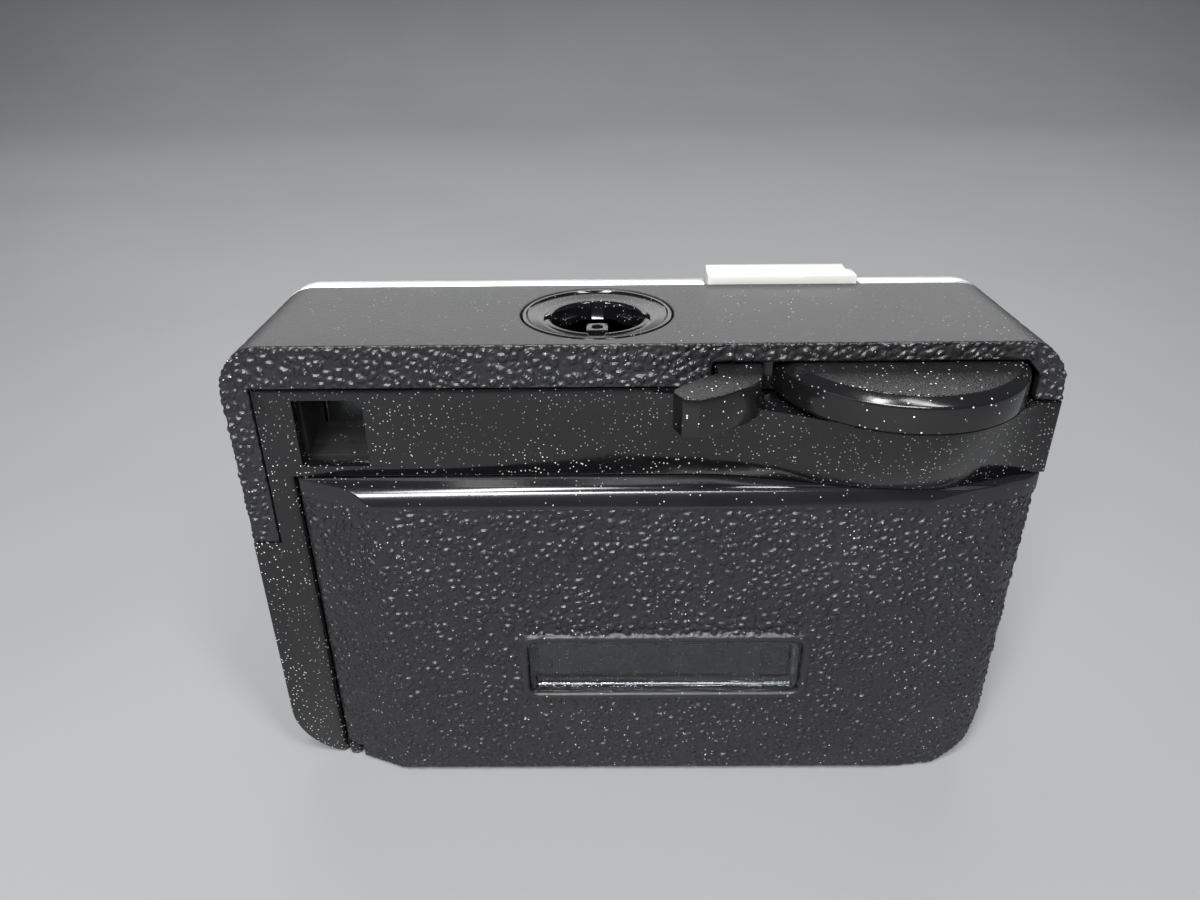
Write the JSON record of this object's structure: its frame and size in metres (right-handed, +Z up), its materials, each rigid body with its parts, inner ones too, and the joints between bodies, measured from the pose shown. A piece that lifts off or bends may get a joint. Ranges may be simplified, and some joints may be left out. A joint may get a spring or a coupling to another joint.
{
  "type": "cartridge snapshot camera",
  "caption": "Compact drop-in cartridge film camera with a rotating flash cube socket, rear wind lever, hinged back door with a window, eye-level finder and a front release plate.",
  "frame": {"origin": "bottom centre of the whole camera's box, at rest, with the lever in", "axes": "+Z up, +Y out of the back (the side with the door), -Y out of the lens, +X towards the finder"},
  "size_m": [0.108, 0.054, 0.071],
  "materials": {
    "grain_black": "black moulded plastic with a coarse leather grain, half gloss on the tops of the grain",
    "gloss_black": "smooth glossy black plastic with fine dust and hairline scratches",
    "lever_black": "black plastic, fine sparkle texture on the top face, polished bevel",
    "matt_black": "plain matt black moulding",
    "satin_silver": "satin silver plate with a fine brushed grain",
    "bright_ring": "bright turned ring",
    "pale_plastic": "pale silver plastic, slightly glossy",
    "steel": "pressed steel",
    "dark_steel": "blackened steel",
    "brass": "machined brass",
    "clear": "clear moulded optical plastic",
    "window_clear": "smoked clear window, rubbed and dusty"
  },
  "bodies": {
    "camera_body": {"top_shell": "grain_black", "rear_frame": "gloss_black", "body_frame": "gloss_black", "front_bulkhead": "matt_black", "mechanism_deck": "matt_black", "take_up_chamber": "matt_black", "supply_chamber": "matt_black", "light_box": "matt_black", "film_gate_frame": "matt_black", "front_plate": "satin_silver", "front_inlay": "grain_black", "lens_barrel": "gloss_black", "lens_trim_ring": "bright_ring", "front_lens": "clear", "lens_retainer": "matt_black", "aperture_plate": "matt_black", "shutter_plate": "steel", "release_spring": "steel", "wind_spring": "steel", "socket_post": "gloss_black", "mechanism_plate": "steel", "door_hinge_pin": "steel", "latch_spring": "steel", "finder_tube": "matt_black", "finder_front_lens": "clear", "finder_eye_lens": "clear", "tripod_bush": "brass", "mechanism_screws": "steel", "front_plate_screws": "steel"},
    "shutter": {"shutter_blade": "dark_steel"},
    "release": {"release_plate": "pale_plastic", "release_rod": "steel"},
    "wind_lever": {"wind_lever": "lever_black", "wind_pinion": "brass"},
    "takeup": {"takeup_gear": "brass", "takeup_fork": "gloss_black", "ratchet_wheel": "steel"},
    "pawl": {"ratchet_pawl": "steel"},
    "index_slide": {"index_slide": "matt_black"},
    "flash_socket": {"flash_socket": "gloss_black", "socket_pinion": "brass"},
    "striker": {"flash_striker": "steel"},
    "feeler": {"film_feeler": "steel"},
    "door": {"back_door": "grain_black", "door_window": "window_clear", "cartridge_spring": "steel"},
    "latch": {"door_latch": "gloss_black"}
  },
  "joints": [
    {"name": "wind_lever_turn", "type": "hinge", "parent": "camera_body", "child": "wind_lever", "pos_m": [-0.0336, 0.0106, 0.064], "axis": [0, 0, 1], "range_deg": [0, 102.8], "stiffness_Nm_per_rad": 0.004, "springref_deg": -17.19, "deforming": ["wind_spring"]},
    {"name": "takeup_turn", "type": "hinge", "parent": "camera_body", "child": "takeup", "pos_m": [-0.0336, 0.0036, 0.048], "axis": [0, 0, 1], "range_deg": [-103, 0]},
    {"name": "index_slide_travel", "type": "slide", "parent": "camera_body", "child": "index_slide", "axis": [1, 0, 0], "range_m": [0, 0.0063]},
    {"name": "flash_socket_turn", "type": "hinge", "parent": "camera_body", "child": "flash_socket", "pos_m": [0.0056, 0.0035, 0.064], "axis": [0, 0, 1], "range_deg": [-90, 0]},
    {"name": "release_press", "type": "slide", "parent": "camera_body", "child": "release", "axis": [0, 0, -1], "range_m": [0, 0.0025], "stiffness_N_per_m": 250, "springref_m": -0.002, "deforming": ["release_spring"]},
    {"name": "shutter_blade_swing", "type": "hinge", "parent": "camera_body", "child": "shutter", "pos_m": [0.0025, -0.01, 0.029], "axis": [0, -1, 0], "range_deg": [0, 50.1]},
    {"name": "flash_striker_rise", "type": "slide", "parent": "camera_body", "child": "striker", "axis": [0, 0, 1], "range_m": [0, 0.0021]},
    {"name": "film_feeler_swing", "type": "hinge", "parent": "camera_body", "child": "feeler", "pos_m": [0.0096, 0.0012, 0.0457], "axis": [0, 0, 1], "range_deg": [-5, 12], "stiffness_Nm_per_rad": 0.0005},
    {"name": "ratchet_pawl_swing", "type": "hinge", "parent": "camera_body", "child": "pawl", "pos_m": [-0.024, 0.0006, 0.0468], "axis": [0, 0, -1], "range_deg": [-1, 12], "stiffness_Nm_per_rad": 0.0003},
    {"name": "back_door_swing", "type": "hinge", "parent": "camera_body", "child": "door", "pos_m": [0.045, 0.0151, 0.025], "axis": [0, 0, -1], "range_deg": [0, 90]},
    {"name": "door_latch_slide", "type": "slide", "parent": "camera_body", "child": "latch", "axis": [0, -1, 0], "range_m": [0, 0.002], "stiffness_N_per_m": 150, "springref_m": -0.002, "deforming": ["latch_spring"]}
  ],
  "couplings": [
    {"joint": "takeup_turn", "follows": "wind_lever_turn", "ratio": -1},
    {"joint": "index_slide_travel", "follows": "wind_lever_turn", "m_per_rad": 0.0035},
    {"joint": "flash_socket_turn", "follows": "wind_lever_turn", "ratio": -0.875},
    {"joint": "shutter_blade_swing", "follows": "release_press", "rad_per_m": 349},
    {"joint": "flash_striker_rise", "follows": "release_press", "ratio": 0.8}
  ]
}
